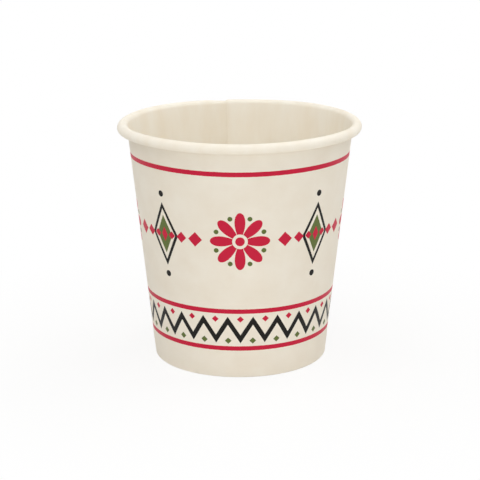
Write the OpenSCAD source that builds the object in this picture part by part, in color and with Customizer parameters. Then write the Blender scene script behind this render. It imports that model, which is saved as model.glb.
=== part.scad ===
// Small single wall paper cup for a hot drink, in millimetres.
// The cup stands upright on the XY plane, with its axis on Z and the middle of its base at the origin.

/* [Cup] */
// Height from the table to the top of the rolled rim
cup_h = 61; // [50:0.5:90]
// Outer diameter over the rolled rim
rim_d = 62; // [56:0.5:72]
// Outer diameter of the side wall, carried down to the table
base_d = 44.2; // [38:0.2:50]

/* [Paper] */
// Thickness of the side wall's coated paper
wall_paper = 0.3; // [0.2:0.02:0.4]
// Thickness of the bottom's coated paper
bottom_paper = 0.27; // [0.2:0.01:0.4]
// Gap between two layers that are sealed together
seal_gap = 0.03; // [0.01:0.01:0.05]

/* [Rolled rim] */
// Diameter of the roll
curl_d = 2.5; // [2:0.1:3.5]
// Turn of the roll from the mouth to its hidden cut edge, in degrees
curl_turn = 400; // [340:5:420]
// Gap between the turns of the roll
curl_gap = 0.06; // [0.02:0.01:0.1]

/* [Side seam] */
// Width of the overlap at half height
seam_w = 7; // [4:0.5:10]
// Length over which the outer layer climbs onto the inner one, at half height
seam_climb = 5; // [2:0.5:8]
// Direction of the inner layer's cut edge, in degrees from X towards Y
seam_azimuth = 97; // [0:1:359]
// Height over which the overlap is pressed flat at the rim and at the base
seam_press_h = 1.5; // [0.5:0.1:3]

/* [Base] */
// Height of the bottom's underside above the table
recess_h = 6; // [5.6:0.1:10]
// Height of the turned up hem inside the base
hem_h = 5; // [3:0.1:5.2]
// Inside radius of the fold that the cup stands on
fold_inner_r = 0.05; // [0.02:0.01:0.08]
// Gap between the skirt's cut edge and the fold below it
skirt_gap = 0.4; // [0.05:0.05:0.8]
// Inside radius of the bend between the bottom and its skirt
bottom_bend_r = 0.25; // [0.1:0.05:0.5]

/* [Hidden] */
$fn = 120;
paper_colour = "#e6dccd";
coated_colour = "#e8dfcb";
// Angle between the points of the roll, which fall at its top and at its outermost side
roll_step = 18;
corner_steps = 4;
climb_steps = 5;

curl_r = curl_d / 2;
curl_centre = [rim_d / 2 - curl_r, cup_h - curl_r];
// The wall's outer surface starts at the base and touches the inside of the roll
wall_run = curl_centre - [base_d / 2, 0];
wall_tilt = atan2(wall_run.x, wall_run.y) - asin((curl_r - wall_paper) / norm(wall_run));

// Layers at the base, as depths in from the wall's outer surface
skirt_depth = wall_paper + seal_gap;
hem_depth = skirt_depth + bottom_paper + seal_gap;
fold_w = hem_depth + wall_paper;
fold_r = fold_inner_r + wall_paper;

// Ends of the stretch in which the seam stands at its full thickness
seam_low = fold_r;
seam_high = cup_h - curl_d - seal_gap;

seam_r = (base_d + rim_d) / 4;
seam_angle = seam_w / seam_r * 180 / PI;
climb_angle = seam_climb / seam_r * 180 / PI;

// Radius at height z of a surface that lies depth inside the wall's outer surface
function layer_r(depth, z) = base_d / 2 + z * tan(wall_tilt) - depth / cos(wall_tilt);
function layer_point(depth, z) = [layer_r(depth, z), z];
function on_circle(centre, r, angle) = centre + r * [cos(angle), sin(angle)];
function arc(centre, r, from, to) =
    [for (i = [0:corner_steps]) on_circle(centre, r, from + (to - from) * i / corner_steps)];

// Outer radius of the roll after a turn: the last part slips inside the first
roll_slip_from = 230;
roll_slip_to = 310;
function roll_slip(turn) = min(1, max(0, (turn - roll_slip_from) / (roll_slip_to - roll_slip_from)));
function roll_r(turn) = curl_r - roll_slip(turn) * (wall_paper + curl_gap);
function roll_point(turn, depth) = on_circle(curl_centre, roll_r(turn) - depth, 180 - wall_tilt - turn);
roll_turns = [for (i = [0:ceil((curl_turn + wall_tilt) / roll_step)])
    max(0, min(curl_turn, i * roll_step - wall_tilt))];
last_turn = len(roll_turns) - 1;

// Section of the side wall, with its two faces moved outwards by their rises at a seam
function wall_section(inner_rise, outer_rise) = concat(
    arc(layer_point(fold_r, fold_r), fold_r, -90, -wall_tilt),
    [layer_point(-outer_rise, seam_low + seam_press_h)],
    [layer_point(-outer_rise, seam_high - seam_press_h)],
    [layer_point(0, seam_high)],
    [for (turn = roll_turns) roll_point(turn, wall_paper)],
    [for (i = [last_turn:-1:0]) roll_point(roll_turns[i], 0)],
    [layer_point(wall_paper, seam_high)],
    [layer_point(wall_paper - inner_rise, seam_high - seam_press_h)],
    [layer_point(wall_paper - inner_rise, seam_low + seam_press_h)],
    arc(layer_point(fold_r, fold_r), fold_inner_r, -wall_tilt, -90),
    arc(layer_point(fold_w - fold_r, fold_r), fold_inner_r, -90, -180 - wall_tilt),
    [layer_point(hem_depth, hem_h)],
    [layer_point(fold_w, hem_h)],
    arc(layer_point(fold_w - fold_r, fold_r), fold_r, -180 - wall_tilt, -90)
);

// Stretch of the side wall between two directions
module wall_stretch(from, sweep, inner_rise, outer_rise) {
    rotate_extrude(angle = sweep, start = from)
        polygon(wall_section(inner_rise, outer_rise));
}

// Side wall: one sheet rolled round, overlapped at its seam, rolled over at the rim and hemmed at the base
module sidewall() {
    single_angle = 360 - seam_angle - climb_angle;
    step_angle = climb_angle / climb_steps;
    color(paper_colour)
    union() {
        wall_stretch(seam_azimuth + climb_angle, single_angle, 0, 0);
        wall_stretch(seam_azimuth - seam_angle, seam_angle, 0, wall_paper);
        for (i = [1:climb_steps]) {
            rise = wall_paper * i / climb_steps;
            wall_stretch(seam_azimuth + climb_angle - i * step_angle, step_angle, rise, rise);
        }
    }
}

// Bottom: a paper disc with its edge bent down as a skirt, held between the wall and its hem
module bottom() {
    bend_r = bottom_bend_r + bottom_paper;
    top_z = recess_h + bottom_paper;
    bend_centre = layer_point(skirt_depth + bend_r, top_z - bend_r);
    skirt_z = wall_paper + skirt_gap;
    color(coated_colour)
    rotate_extrude()
        polygon(concat(
            [[0, recess_h]],
            arc(bend_centre, bottom_bend_r, 90, -wall_tilt),
            [layer_point(skirt_depth + bottom_paper, skirt_z)],
            [layer_point(skirt_depth, skirt_z)],
            arc(bend_centre, bend_r, -wall_tilt, 90),
            [[0, top_z]]
        ));
}

sidewall();
bottom();
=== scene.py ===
import math

import bpy
from mathutils import Matrix, Vector, noise


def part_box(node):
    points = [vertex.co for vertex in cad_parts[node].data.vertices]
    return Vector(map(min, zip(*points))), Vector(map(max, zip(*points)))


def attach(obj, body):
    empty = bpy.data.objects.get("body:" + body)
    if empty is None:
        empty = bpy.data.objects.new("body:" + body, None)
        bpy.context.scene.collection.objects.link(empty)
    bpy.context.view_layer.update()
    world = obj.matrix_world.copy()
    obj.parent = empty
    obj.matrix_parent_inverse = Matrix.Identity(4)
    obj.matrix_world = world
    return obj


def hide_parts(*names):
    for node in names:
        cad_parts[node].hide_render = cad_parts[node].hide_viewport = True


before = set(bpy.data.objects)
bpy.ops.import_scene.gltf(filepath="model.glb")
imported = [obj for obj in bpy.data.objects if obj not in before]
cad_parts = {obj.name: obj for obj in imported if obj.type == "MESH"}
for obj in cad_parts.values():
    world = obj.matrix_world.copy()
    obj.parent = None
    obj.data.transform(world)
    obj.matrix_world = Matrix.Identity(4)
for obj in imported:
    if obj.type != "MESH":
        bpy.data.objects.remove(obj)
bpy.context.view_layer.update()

mm = 0.001
fullTurn = 2 * math.pi
smoothUpTo = math.radians(50)   # a sharper angle between two faces stays an edge


# Camera, at the place and with the lens that the photograph was taken with

cameraSetup = {
    "distance": 380.2 * mm,     # from the cup's axis
    "height": 134.7 * mm,       # above the table
    "pitchDown": 0.2700,        # radians below level
    "roll": -0.0050,
    "focalPixels": 1526.3,
    "framePixels": 480,
    "sensorWidth": 36.0,
}


def placeCamera(setup):
    bpy.ops.object.camera_add()
    camera = bpy.context.object
    camera.name = "photoCamera"
    camera.data.sensor_width = setup["sensorWidth"]
    camera.data.lens = setup["sensorWidth"] * setup["focalPixels"] / setup["framePixels"]
    place = Matrix.Translation((0, -setup["distance"], setup["height"]))
    tilt = Matrix.Rotation(math.pi / 2 - setup["pitchDown"], 4, "X")
    camera.matrix_world = place @ tilt @ Matrix.Rotation(setup["roll"], 4, "Z")
    bpy.context.scene.camera = camera


placeCamera(cameraSetup)
print("camera placed")


# Side wall: one sheet, hemmed at the base, rolled at the rim and lapped at the side seam.
# Its overall sizes are read from the frame, and the rest are the maker's sizes.

wallLow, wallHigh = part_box("sidewall")
bottomLow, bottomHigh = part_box("bottom")

wall = {
    "height": wallHigh.z,
    "rimRadius": (wallHigh.x - wallLow.x) / 2,
    "baseRadius": 22.1 * mm,
    "paper": 0.3 * mm,
    "sealGap": 0.03 * mm,
    "ringStep": math.radians(1),            # between two copies of the section as it is spun round
    "hemSteps": 8,                          # pieces that the section is drawn in, part by part
    "foldSteps": 5,
    "footSteps": 3,
    "bandSteps": 6,
    "wallSteps": 20,
    "rollSteps": 34,
    # Rolled rim
    "rollRadius": 1.25 * mm,
    "rollTurn": math.radians(400),          # from the mouth round to the hidden cut edge
    "slipFrom": math.radians(230),          # where the roll starts to close on itself
    "slipTo": math.radians(310),
    "rollGap": 0.06 * mm,
    "lapShort": 0.3,                        # share of its turn that the upper layer lacks at the seam
    # Side seam
    "seamAzimuth": math.radians(97),
    "seamWidth": 7.0 * mm,
    "seamClimb": 5.0 * mm,
    "edgePressed": 0.6,                     # share of its thickness that the inner layer's cut edge loses
    # Folded base
    "hemHeight": 5.0 * mm,
    "foldInnerRadius": 0.05 * mm,
    # How far the real sheet strays from its drawing
    "oval": 0.10 * mm,
    "ovalAzimuth": math.radians(70),        # of the widest place
    "rimWave": 0.09 * mm,
    "rimWaves": 4,
    "rimWaveStart": 3.1,                    # radians
    "rollSpread": 0.16 * mm,                # the roll is pressed wider than it is high
    "rollLean": 0.16 * mm,                  # and more so on one side than on the other
    "leanAzimuth": math.radians(180),
    "wallWave": 0.07 * mm,
    "wallWaveSize": 17 * mm,
    "wallWaveRise": 0.6,                    # below 1 draws the waves out up the wall
    "heldAtBase": 1 / 8,                    # shares of the height in which the base and the roll
    "heldAtRim": 1 / 12,                    # keep the wall from waving
    "baseBand": 0.07 * mm,                  # the wall stands proud where the skirt and the hem back it
    "baseBandEdge": 0.9 * mm,
    "knurlDepth": 0.05 * mm,                # pressed into the hem by the closing wheel
    "knurls": 90,
    "hemWave": 0.16 * mm,
    "hemWaves": 6,
}

bottom = {
    "paper": 0.27 * mm,
    "height": bottomHigh.z,
    "bendRadius": 0.25 * mm,                # inside the bend between the disc and its skirt
    "skirtEnd": bottomLow.z,
    "rings": 9,
    "bendSteps": 5,
    "skirtSteps": 4,
    "crown": 0.12 * mm,                     # the middle of the disc is drawn up a little
}
discUnderside = bottom["height"] - bottom["paper"]

rollCentre = Vector((wall["rimRadius"] - wall["rollRadius"], wall["height"] - wall["rollRadius"]))
wallRun = rollCentre - Vector((wall["baseRadius"], 0))
rollLead = math.asin((wall["rollRadius"] - wall["paper"]) / wallRun.length)
wallTilt = math.atan2(wallRun.x, wallRun.y) - rollLead
skirtDepth = wall["paper"] + wall["sealGap"]
foldWidth = skirtDepth + bottom["paper"] + wall["sealGap"] + wall["paper"]
foldRadius = wall["foldInnerRadius"] + wall["paper"]
middleRadius = (wall["baseRadius"] + wall["rimRadius"]) / 2
seamAngle = wall["seamWidth"] / middleRadius
climbAngle = wall["seamClimb"] / middleRadius
layerStep = wall["paper"] + wall["sealGap"]


def ease(x):
    x = min(1.0, max(0.0, x))
    return x * x * (3 - 2 * x)


def spaced(start, end, count):
    return [start + (end - start) * i / count for i in range(count + 1)]


def direction(angle):
    return Vector((math.cos(angle), math.sin(angle)))


def layerPoint(depth, z):
    # A point of the section at height z, depth inside the wall's outer face
    return Vector((wall["baseRadius"] + z * math.tan(wallTilt) - depth / math.cos(wallTilt), z))


def rollPlace(turn, climb, doubled):
    # Where two layers roll together the inner turns shrink, and the upper layer stops short
    turn = turn * (1 - wall["lapShort"] * climb)
    slip = ease((turn - wall["slipFrom"]) / (wall["slipTo"] - wall["slipFrom"]))
    inwards = wall["paper"] * (1 + doubled) + wall["rollGap"]
    radius = wall["rollRadius"] - wall["paper"] / 2 - slip * inwards
    angle = math.pi - wallTilt - turn
    return rollCentre + direction(angle) * radius, angle + math.pi


def sheetStations():
    # The middle of the sheet in section, from the hem's cut edge to the roll's. Each station has its
    # part, its measure along that part, its place, and the way that the printed face looks.
    half = wall["paper"] / 2
    stations = []
    for z in spaced(wall["hemHeight"], foldRadius, wall["hemSteps"])[:-1]:
        stations.append(("hem", z, layerPoint(foldWidth - half, z), math.pi - wallTilt))
    for angle in spaced(math.pi - wallTilt, 1.5 * math.pi, wall["foldSteps"]):
        centre = layerPoint(foldWidth - foldRadius, foldRadius)
        stations.append(("fold", 0, centre + direction(angle) * (foldRadius - half), angle))
    for angle in spaced(1.5 * math.pi, fullTurn - wallTilt, wall["foldSteps"]):
        centre = layerPoint(foldRadius, foldRadius)
        stations.append(("fold", 0, centre + direction(angle) * (foldRadius - half), angle))
    bandLow = discUnderside - wall["baseBandEdge"]
    bandTop = discUnderside + wall["baseBandEdge"]
    wallTop = rollCentre.y + wall["rollRadius"] * math.sin(wallTilt)
    heights = spaced(foldRadius, bandLow, wall["footSteps"])[1:]
    heights += spaced(bandLow, bandTop, wall["bandSteps"])[1:]
    heights += spaced(bandTop, wallTop, wall["wallSteps"])[1:-1]
    for z in heights:
        stations.append(("wall", z, layerPoint(half, z), fullTurn - wallTilt))
    for turn in spaced(0, wall["rollTurn"], wall["rollSteps"]):
        place, facing = rollPlace(turn, 0, 0)
        stations.append(("roll", turn, place, facing))
    return stations


def formed(station, turn):
    # Where a point of the sheet lies once it is wound round by turn, with its lap and its unevenness
    part, measure, place, facing = station
    azimuth = wall["seamAzimuth"] - turn
    climb = ease((turn - fullTurn + climbAngle) / climbAngle)
    under = 1 - ease((turn - seamAngle) / climbAngle)
    if part == "roll":
        place, facing = rollPlace(measure, climb, max(climb, under))
    out = direction(facing)
    r, z = place + out * layerStep * climb
    if part == "fold":
        z = place.y + layerStep * under     # the lower layer is creased inside the upper one's fold
    share = z / wall["height"]
    if part in ("wall", "roll"):
        raised = max(0.0, (z - bottom["height"]) / (wall["height"] - bottom["height"]))
        inner = min(1.0, (wall["rimRadius"] - r) / (2 * wall["rollRadius"] - wall["paper"] / 2))
        spread = wall["rollSpread"] + wall["rollLean"] * math.cos(azimuth - wall["leanAzimuth"])
        r -= raised * spread * inner
    r += share * wall["oval"] * math.cos(2 * (azimuth - wall["ovalAzimuth"]))
    z += share ** 4 * wall["rimWave"] * math.cos(wall["rimWaves"] * azimuth + wall["rimWaveStart"])
    if part == "wall":
        size = wall["wallWaveSize"]
        spot = Vector((math.cos(azimuth), math.sin(azimuth), 0)) * middleRadius / size
        spot.z = wall["wallWaveRise"] * z / size
        free = ease(share / wall["heldAtBase"]) * ease((1 - share) / wall["heldAtRim"])
        r += free * wall["wallWave"] * noise.noise(spot)
    if part in ("wall", "fold") and out.x > 0:
        proud = 1 - ease((z - discUnderside) / wall["baseBandEdge"] / 2 + 0.5)
        r += wall["baseBand"] * proud * ease(out.x * 2)
    if part == "hem":
        # The wheel's marks fade out towards the fold and towards the cut edge
        rise = z / wall["hemHeight"]
        pressed = ease(3 * rise - 0.4) * ease(8 * (1 - rise))
        r += pressed * wall["knurlDepth"] * math.cos(wall["knurls"] * azimuth)
        z += rise * wall["hemWave"] * noise.noise(Vector((wall["hemWaves"] * azimuth, 0, 0)))
    return Vector((r * math.cos(azimuth), r * math.sin(azimuth), z))


def startFresh():
    if bpy.context.mode != "OBJECT":
        bpy.ops.object.mode_set(mode="OBJECT")
    bpy.ops.object.select_all(action="DESELECT")


def flipFaces():
    bpy.ops.object.mode_set(mode="EDIT")
    bpy.ops.mesh.select_all(action="SELECT")
    bpy.ops.mesh.flip_normals()
    bpy.ops.object.mode_set(mode="OBJECT")


def thickened(sheet, paper):
    # The first slot is for the outer face, the second for the inner face and the third for cut edges
    for side in ("outer", "inner", "edge"):
        sheet.data.materials.append(bpy.data.materials.new(side))
    solid = sheet.modifiers.new("paper", "SOLIDIFY")
    solid.thickness = paper
    solid.offset = 0
    solid.material_offset = 1
    solid.material_offset_rim = 2
    bpy.ops.object.modifier_apply(modifier=solid.name)
    bpy.ops.object.shade_smooth_by_angle(angle=smoothUpTo)


def modelSidewall():
    stations = sheetStations()
    count = len(stations)
    rings = round((fullTurn + seamAngle) / wall["ringStep"])
    turnStep = (fullTurn + seamAngle) / rings
    first = stations[0][2]
    startFresh()
    bpy.ops.mesh.primitive_plane_add(size=wall["paper"], location=(first.x, 0, first.y))
    sheet = bpy.context.object
    sheet.name = "cupSidewall"
    bpy.ops.object.transform_apply(location=True, rotation=True, scale=True)
    bpy.ops.object.mode_set(mode="EDIT")
    bpy.ops.mesh.merge(type="CENTER")
    last = first
    for station in stations[1:]:
        step = station[2] - last
        bpy.ops.mesh.extrude_region_move(TRANSFORM_OT_translate={"value": (step.x, 0, step.y)})
        last = station[2]
    bpy.ops.object.mode_set(mode="OBJECT")

    # Extruding doesn't number its points in order, so each one's station is found by its place.
    # The spin then copies them ring by ring.
    order = []
    for vertex in sheet.data.vertices:
        order.append(min(range(count), key=lambda at: (stations[at][2] - vertex.co.xz).length))
    bpy.ops.object.mode_set(mode="EDIT")
    bpy.ops.mesh.select_all(action="SELECT")
    bpy.ops.mesh.spin(steps=rings, angle=fullTurn + seamAngle, center=(0, 0, 0), axis=(0, 0, 1))
    bpy.ops.object.mode_set(mode="OBJECT")

    for vertex in sheet.data.vertices:
        ring, at = divmod(vertex.index, count)
        vertex.co = formed(stations[order[at]], ring * turnStep)

    # The sheet laid flat: the angle round from its printed front, and the millimetres up the wall
    lengths = [0.0]
    for before, after in zip(stations, stations[1:]):
        lengths.append(lengths[-1] + (after[2] - before[2]).length / mm)
    firstWall = next(at for at, station in enumerate(stations) if station[0] == "wall")
    start = lengths[firstWall] - stations[firstWall][1] / math.cos(wallTilt) / mm
    blank = sheet.data.uv_layers.new(name="blank")
    for loop in sheet.data.loops:
        ring, at = divmod(loop.vertex_index, count)
        angle = wall["seamAzimuth"] - ring * turnStep + math.pi / 2
        blank.data[loop.index].uv = (angle, lengths[order[at]] - start)

    # The printed face has to be the outer one before the sheet gets its thickness
    frontPlace = Vector((0, -middleRadius, wall["height"] / 2))
    front = min(sheet.data.polygons, key=lambda face: (face.center - frontPlace).length)
    if front.normal.y > 0:
        flipFaces()
    points = len(sheet.data.vertices)
    thickened(sheet, wall["paper"])
    # The coated side's points follow the printed side's, in the same order. Its first ring is the cut
    # edge inside the cup, which the seam clamp has pressed thin.
    coated = sheet.data.vertices[points:2 * points]
    for index in range(count):
        coated[index].co = coated[index].co.lerp(sheet.data.vertices[index].co, wall["edgePressed"])
    return sheet


# Bottom: a disc with its edge bent down into a skirt between the wall and the hem

def modelBottom():
    half = bottom["paper"] / 2
    bend = bottom["bendRadius"] + half
    level = bottom["height"] - half
    bendCentre = layerPoint(skirtDepth + half + bend, level - bend)
    startFresh()
    bpy.ops.mesh.primitive_circle_add(
        vertices=round(fullTurn / wall["ringStep"]), radius=bendCentre.x, fill_type="NGON",
        location=(0, 0, level))
    disc = bpy.context.object
    disc.name = "cupBottom"
    bpy.ops.object.transform_apply(location=True, rotation=True, scale=True)
    bpy.ops.object.mode_set(mode="EDIT")
    bpy.ops.mesh.select_mode(type="FACE")
    bpy.ops.mesh.select_all(action="SELECT")
    for ring in range(bottom["rings"]):
        bpy.ops.mesh.inset(thickness=bendCentre.x / (bottom["rings"] + 1), use_even_offset=False)
    bpy.ops.mesh.poke()
    bpy.ops.mesh.select_mode(type="EDGE")
    bpy.ops.mesh.select_all(action="DESELECT")
    bpy.ops.mesh.select_non_manifold(
        use_wire=False, use_boundary=True, use_multi_face=False, use_non_contiguous=False, use_verts=False)
    places = []
    for angle in spaced(math.pi / 2, -wallTilt, bottom["bendSteps"])[1:]:
        places.append(bendCentre + direction(angle) * bend)
    for z in spaced(places[-1].y, bottom["skirtEnd"], bottom["skirtSteps"])[1:]:
        places.append(layerPoint(skirtDepth + half, z))
    last = Vector((bendCentre.x, level))
    for place in places:
        bpy.ops.mesh.extrude_region_move(TRANSFORM_OT_translate={"value": (0, 0, place.y - last.y)})
        widen = place.x / last.x
        bpy.ops.transform.resize(value=(widen, widen, 1), center_override=(0, 0, 0))
        last = place
    bpy.ops.mesh.select_all(action="SELECT")
    bpy.ops.mesh.normals_make_consistent(inside=False)
    bpy.ops.object.mode_set(mode="OBJECT")
    for vertex in disc.data.vertices:
        vertex.co.z += bottom["crown"] * (1 - ease(vertex.co.to_2d().length / bendCentre.x))
    if max(disc.data.polygons, key=lambda face: face.normal.z ** 2).normal.z < 0:
        flipFaces()
    thickened(disc, bottom["paper"])
    return disc


sidewallPiece = modelSidewall()
print("sidewall modelled:", len(sidewallPiece.data.polygons), "faces")
bottomPiece = modelBottom()
print("bottom modelled:", len(bottomPiece.data.polygons), "faces")


# Materials

def linear(colour):
    # sRGB hex to the linear values that the shader's sockets take
    parts = [int(colour[i:i + 2], 16) / 255 for i in (1, 3, 5)]
    return [p / 12.92 if p <= 0.04045 else ((p + 0.055) / 1.055) ** 2.4 for p in parts] + [1.0]


def addNode(tree, kind, settings=None, inputs=None, output=0):
    # A bare word as settings is the operation. An input that is another node's output is linked.
    made = tree.nodes.new("ShaderNode" + kind)
    settings = {"operation": settings} if isinstance(settings, str) else settings or {}
    for name, value in settings.items():
        setattr(made, name, value)
    inputs = inputs if isinstance(inputs, dict) else dict(enumerate(inputs or []))
    for name, value in inputs.items():
        if isinstance(value, bpy.types.NodeSocket):
            tree.links.new(value, made.inputs[name])
        else:
            made.inputs[name].default_value = value
    return made.outputs[output] if made.outputs else made


def startMaterial(material, name):
    material.name = name
    material.use_nodes = True
    material.node_tree.nodes.clear()
    return material.node_tree


# Cup board is bleached kraft paperboard, cast on a wire and calendered between steel rolls. It is cream
# and nearly matt, and a little cloudy where its fibres lie thicker.
board = {
    "colour": "#efe8da",
    "cloudColour": "#ebe2d2",
    "cloud": 7.0 * mm,
    "cloudDetail": 4.0,
    "cloudRoughness": 0.55,
    "cloudFrom": 0.35,          # the noise's values between which the one colour turns into the other
    "cloudTo": 0.7,
    "grain": 1.0,               # how far the clouds are drawn out up the wall
    "fibre": 0.5 * mm,          # a fibre is 0.03 mm wide, so it is drawn coarser to show at all
    "fibreDetail": 3.0,
    "fibreRoughness": 0.6,
    "fibreHeight": 0.004 * mm,
    "roughness": 0.55,
    "specular": 0.2,            # its fibres scatter most of what a smooth face would reflect
    "coat": 0.0,
    "coatRoughness": 0.3,
}

# The same board with a film of polyethylene extruded on to it and chilled on a matt roll, which makes
# the inside of the cup and the rolled rim more even, with hardly any shine. Its colour is painted paler
# than the printed board's: painted light that makes the inside of the cup and the rolled rim render
# lighter.
coatedBoard = dict(
    board, colour="#f6f0e3", cloudColour="#f2e9d8", cloud=5.0 * mm, grain=4.0, fibre=0.8 * mm,
    fibreHeight=0.003 * mm, roughness=0.6, specular=0.12, coat=0.03, coatRoughness=0.32)

# Board sliced by a die, which shows its paler, matt and fuzzy core.
cutBoard = dict(
    board, colour="#f3ecdf", cloudColour="#e6dccb", cloud=0.9 * mm, fibreHeight=0.02 * mm, roughness=0.85)

paperIor = 1.5

# The print is in millimetres up the wall from the base, and repeats four times round the cup. Each motif
# is a plain figure: a rosette of eight petals, lozenges, dots, and a zigzag between two lines.
printing = {
    "repeats": 4,
    "misfit": 0.004,            # share by which the repeats miss one another at the side seam
    "crimson": "#c6163a",
    "black": "#100c08",
    "green": "#5f6d35",
    "inkRoughness": 0.44,
    "ragged": 0.05,             # how far the ink's edge strays
    "raggedSize": 0.6 * mm,
    "raggedDetail": 2.0,
    "rosetteHeight": 36.5,
    "petals": 8,
    "petalReach": 7.4,
    "petalStart": 1.9,
    "petalShape": 0.55,
    "eyeRadius": 1.15,
    "seedRadius": 0.6,
    "seedReach": 6.3,
    "chain": [(11.3, 1.9), (15.2, 1.45), (18.2, 1.05)],     # distance from the rosette, half size
    "lozengeOutside": (4.4, 8.2),
    "lozengeInside": (3.5, 6.6),
    "lozengeFill": (2.6, 4.9),
    "lozengeEye": (1.0, 1.9),
    "dotReach": 10.4,
    "dotRadius": 0.8,
    "zigzagHeight": 13.0,
    "zigzagRise": 2.5,
    "zigzagLine": 1.15,
    "zigzags": 6,               # up and down in each mirrored half of a repeat
    "notch": (0.85, 0.85),
    "notchReach": 2.9,
    "lineHeights": [8.0, 18.0, 53.6],
    "lineHalf": 0.6,
}


def diamondMask(tree, x, y, halfWidth, halfHeight):
    across = addNode(tree, "Math", "DIVIDE", [addNode(tree, "Math", "ABSOLUTE", [x]), halfWidth])
    along = addNode(tree, "Math", "DIVIDE", [addNode(tree, "Math", "ABSOLUTE", [y]), halfHeight])
    return addNode(tree, "Math", "LESS_THAN", [addNode(tree, "Math", "ADD", [across, along]), 1.0])


def discMask(tree, x, y, radius):
    squares = addNode(tree, "Math", "MULTIPLY_ADD", [x, x, addNode(tree, "Math", "MULTIPLY", [y, y])])
    return addNode(tree, "Math", "LESS_THAN", [squares, radius * radius])


def lineMask(tree, y, height, half):
    off = addNode(tree, "Math", "ABSOLUTE", [addNode(tree, "Math", "SUBTRACT", [y, height])])
    return addNode(tree, "Math", "LESS_THAN", [off, half])


def anyMask(tree, masks):
    joined = masks[0]
    for mask in masks[1:]:
        joined = addNode(tree, "Math", "MAXIMUM", [joined, mask])
    return joined


def rosetteMasks(tree, x, y):
    squares = addNode(tree, "Math", "MULTIPLY_ADD", [x, x, addNode(tree, "Math", "MULTIPLY", [y, y])])
    reach = addNode(tree, "Math", "SQRT", [squares])
    angle = addNode(tree, "Math", "ARCTAN2", [y, x])
    swing = addNode(tree, "Math", "COSINE", [
        addNode(tree, "Math", "MULTIPLY", [angle, printing["petals"] / 2])])
    swing = addNode(tree, "Math", "ABSOLUTE", [swing])
    petalEdge = addNode(tree, "Math", "MULTIPLY", [
        addNode(tree, "Math", "POWER", [swing, printing["petalShape"]]), printing["petalReach"]])
    petal = addNode(tree, "Math", "MULTIPLY", [
        addNode(tree, "Math", "LESS_THAN", [reach, petalEdge]),
        addNode(tree, "Math", "GREATER_THAN", [reach, printing["petalStart"]])])
    eye = addNode(tree, "Math", "LESS_THAN", [reach, printing["eyeRadius"]])
    # Seeds stand between the petals, so the angle is folded on to one gap
    gap = math.pi / printing["petals"]
    folded = addNode(tree, "Math", "PINGPONG", [addNode(tree, "Math", "ADD", [angle, gap]), gap])
    seedX = addNode(tree, "Math", "MULTIPLY_ADD", [
        reach, addNode(tree, "Math", "COSINE", [folded]), -printing["seedReach"]])
    seedY = addNode(tree, "Math", "MULTIPLY", [reach, addNode(tree, "Math", "SINE", [folded])])
    return anyMask(tree, [petal, eye]), discMask(tree, seedX, seedY, printing["seedRadius"])


def printMasks(tree):
    sheet = addNode(tree, "UVMap", {"uv_map": "blank"})
    angle = addNode(tree, "SeparateXYZ", None, [sheet])
    height = addNode(tree, "SeparateXYZ", None, [sheet], output=1)
    ragged = addNode(tree, "TexNoise", None, {
        "Vector": addNode(tree, "TexCoord", output=3), "Scale": 1 / printing["raggedSize"],
        "Detail": printing["raggedDetail"]})
    ragged = addNode(tree, "Math", "MULTIPLY_ADD", [ragged, 2 * printing["ragged"], -printing["ragged"]])
    height = addNode(tree, "Math", "ADD", [height, ragged])
    radius = addNode(tree, "Math", "MULTIPLY_ADD", [height, math.sin(wallTilt), wall["baseRadius"] / mm])
    half = math.pi / printing["repeats"] * (1 + printing["misfit"])

    fromRosette = addNode(tree, "Math", "PINGPONG", [angle, half])
    x = addNode(tree, "Math", "MULTIPLY_ADD", [fromRosette, radius, ragged])
    y = addNode(tree, "Math", "SUBTRACT", [height, printing["rosetteHeight"]])
    petals, seeds = rosetteMasks(tree, x, y)
    crimson = [petals]
    for reach, size in printing["chain"]:
        crimson.append(diamondMask(tree, addNode(tree, "Math", "SUBTRACT", [x, reach]), y, size, size))

    fromLozenge = addNode(tree, "Math", "SUBTRACT", [half, fromRosette])
    x = addNode(tree, "Math", "MULTIPLY_ADD", [fromLozenge, radius, ragged])
    outline = addNode(tree, "Math", "SUBTRACT", [
        diamondMask(tree, x, y, *printing["lozengeOutside"]),
        diamondMask(tree, x, y, *printing["lozengeInside"])])
    fill = diamondMask(tree, x, y, *printing["lozengeFill"])
    crimson.append(diamondMask(tree, x, y, *printing["lozengeEye"]))
    fromDot = addNode(tree, "Math", "SUBTRACT", [
        addNode(tree, "Math", "ABSOLUTE", [y]), printing["dotReach"]])
    dots = discMask(tree, x, fromDot, printing["dotRadius"])

    # The zigzag's middle line rises and falls once in each of its steps, with a diamond in every notch
    step = half / printing["zigzags"]
    stepLength = step * (wall["baseRadius"] / mm + printing["zigzagHeight"] * math.sin(wallTilt))
    along = addNode(tree, "Math", "MULTIPLY", [
        addNode(tree, "Math", "PINGPONG", [angle, step]), stepLength / step])
    slope = 2 * printing["zigzagRise"] / stepLength
    middle = addNode(tree, "Math", "MULTIPLY_ADD", [
        along, slope, printing["zigzagHeight"] - printing["zigzagRise"]])
    zigzag = lineMask(tree, height, middle, printing["zigzagLine"] / 2 * math.hypot(1, slope))
    back = addNode(tree, "Math", "SUBTRACT", [stepLength, along])
    above = addNode(tree, "Math", "SUBTRACT", [height, printing["zigzagHeight"] + printing["notchReach"]])
    below = addNode(tree, "Math", "SUBTRACT", [height, printing["zigzagHeight"] - printing["notchReach"]])
    crimson.append(diamondMask(tree, along, above, *printing["notch"]))
    notches = diamondMask(tree, back, below, *printing["notch"])
    for lineHeight in printing["lineHeights"]:
        crimson.append(lineMask(tree, height, lineHeight, printing["lineHalf"]))
    return {
        "green": anyMask(tree, [seeds, fill, notches]),
        "black": anyMask(tree, [outline, dots, zigzag]),
        "crimson": anyMask(tree, crimson),
    }


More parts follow.
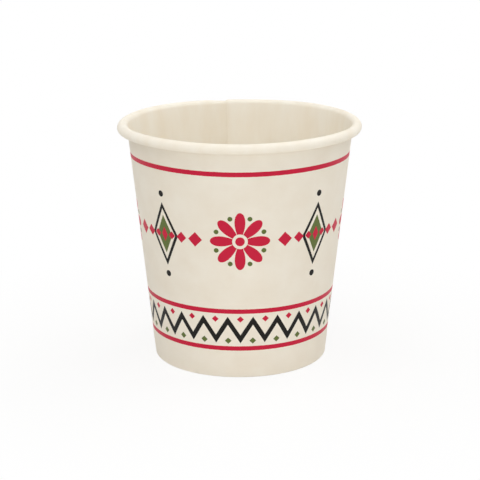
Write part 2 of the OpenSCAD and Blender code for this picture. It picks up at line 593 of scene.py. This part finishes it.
def paperMaterial(material, name, look, printed=False):
    tree = startMaterial(material, name)
    place = addNode(tree, "TexCoord", output=3)
    drawn = addNode(tree, "VectorMath", "MULTIPLY", [place, (1, 1, 1 / look["grain"])])
    cloud = addNode(tree, "TexNoise", None, {
        "Vector": drawn, "Scale": 1 / look["cloud"], "Detail": look["cloudDetail"],
        "Roughness": look["cloudRoughness"]})
    cloud = addNode(tree, "MapRange", None, {
        "Value": cloud, "From Min": look["cloudFrom"], "From Max": look["cloudTo"]})
    fibre = addNode(tree, "TexNoise", None, {
        "Vector": place, "Scale": 1 / look["fibre"], "Detail": look["fibreDetail"],
        "Roughness": look["fibreRoughness"]})
    bump = addNode(tree, "Bump", None, {"Height": fibre, "Distance": look["fibreHeight"], "Strength": 1.0})
    colour = addNode(tree, "Mix", {"data_type": "RGBA"}, {
        0: cloud, 6: linear(look["colour"]), 7: linear(look["cloudColour"])}, output=2)
    roughness = look["roughness"]
    if printed:
        masks = printMasks(tree)
        for ink in ("green", "black", "crimson"):
            colour = addNode(tree, "Mix", {"data_type": "RGBA"}, {
                0: masks[ink], 6: colour, 7: linear(printing[ink])}, output=2)
        roughness = addNode(tree, "MapRange", None, {
            "Value": anyMask(tree, list(masks.values())), "To Min": roughness,
            "To Max": printing["inkRoughness"]})
    shader = addNode(tree, "BsdfPrincipled", None, {
        "Base Color": colour, "Roughness": roughness, "IOR": paperIor,
        "Specular IOR Level": look["specular"], "Coat Weight": look["coat"],
        "Coat Roughness": look["coatRoughness"], "Normal": bump})
    addNode(tree, "OutputMaterial", None, {"Surface": shader})


paperMaterial(sidewallPiece.data.materials[0], "calendered cup board, flexo printed", board, printed=True)
paperMaterial(sidewallPiece.data.materials[1], "polyethylene coated cup board, wall", coatedBoard)
paperMaterial(sidewallPiece.data.materials[2], "die cut board edge, wall", cutBoard)
paperMaterial(bottomPiece.data.materials[0], "polyethylene coated cup board, bottom", coatedBoard)
paperMaterial(bottomPiece.data.materials[1], "calendered cup board, plain", board)
paperMaterial(bottomPiece.data.materials[2], "die cut board edge, bottom", cutBoard)
print("materials made")

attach(sidewallPiece, "root")
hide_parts("sidewall")
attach(bottomPiece, "root")
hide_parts("bottom")


# Studio: a white sweep among soft boxes overhead, low in front and at both back corners

studio = {
    "floorSize": 6.0,
    "floorColour": "#f4f2ee",
    "glowNear": 0.78,           # share of plain white that the camera sees in place of the lit floor,
    "glowFar": 1.0,             # at the cup's axis and past its shadow
    "glowReach": 0.10,          # metres out from the axis
    "worldStrength": 0.21,
    "lampTarget": (0, 0, 0.03),
    "lamps": [
        {"name": "overhead", "place": (0.04, -0.09, 0.42), "size": 0.34, "power": 0.41},
        {"name": "frontLow", "place": (0.06, -0.72, 0.18), "size": 0.5, "power": 1.48},
        {"name": "front", "place": (0.0, -0.65, 0.38), "size": 0.5, "power": 0.74},
        {"name": "leftHigh", "place": (-0.36, -0.20, 0.68), "size": 0.4, "power": 0.98},
        {"name": "rightHigh", "place": (0.36, -0.20, 0.68), "size": 0.4, "power": 0.31},
        {"name": "backRight", "place": (0.45, 0.25, 0.45), "size": 0.5, "power": 1.7},
        {"name": "backLeft", "place": (-0.45, 0.25, 0.45), "size": 0.5, "power": 1.05},
    ],
}


def seesWhite(tree):
    # The camera, a reflection and a view through something all meet the white background
    return anyMask(tree, [addNode(tree, "LightPath", output="Is %s Ray" % ray)
                          for ray in ("Camera", "Glossy", "Transmission")])


def lightStudio(setup):
    startFresh()
    bpy.ops.mesh.primitive_plane_add(size=setup["floorSize"])
    floor = bpy.context.object
    floor.name = "studioFloor"
    floor.data.materials.append(bpy.data.materials.new("floor"))
    tree = startMaterial(floor.data.materials[0], "painted white sweep")
    lit = addNode(tree, "BsdfDiffuse", None, {"Color": linear(setup["floorColour"])})
    glow = addNode(tree, "Emission", None, {"Color": (1, 1, 1, 1), "Strength": 1.0})
    reach = addNode(tree, "VectorMath", "LENGTH", [addNode(tree, "TexCoord", output=3)], output=1)
    share = addNode(tree, "MapRange", None, {
        "Value": reach, "From Max": setup["glowReach"], "To Min": setup["glowNear"],
        "To Max": setup["glowFar"]})
    seen = addNode(tree, "Math", "MULTIPLY", [seesWhite(tree), share])
    addNode(tree, "OutputMaterial", None, {"Surface": addNode(tree, "MixShader", None, [seen, lit, glow])})

    for lamp in setup["lamps"]:
        bpy.ops.object.light_add(type="AREA", location=lamp["place"])
        light = bpy.context.object
        light.name = lamp["name"]
        light.data.shape = "SQUARE"
        light.data.size = lamp["size"]
        light.data.energy = lamp["power"]
        aim = Vector(setup["lampTarget"]) - Vector(lamp["place"])
        light.rotation_euler = aim.to_track_quat("-Z", "Y").to_euler()

    world = bpy.data.worlds.new("studio")
    bpy.context.scene.world = world
    world.use_nodes = True
    tree = world.node_tree
    tree.nodes.clear()
    around = addNode(tree, "Background", None, {"Color": (1, 1, 1, 1), "Strength": setup["worldStrength"]})
    white = addNode(tree, "Background", None, {"Color": (1, 1, 1, 1), "Strength": 1.0})
    addNode(tree, "OutputWorld", None, {
        "Surface": addNode(tree, "MixShader", None, [seesWhite(tree), around, white])})


lightStudio(studio)
bpy.context.scene.view_settings.view_transform = "Standard"
print("studio lit")
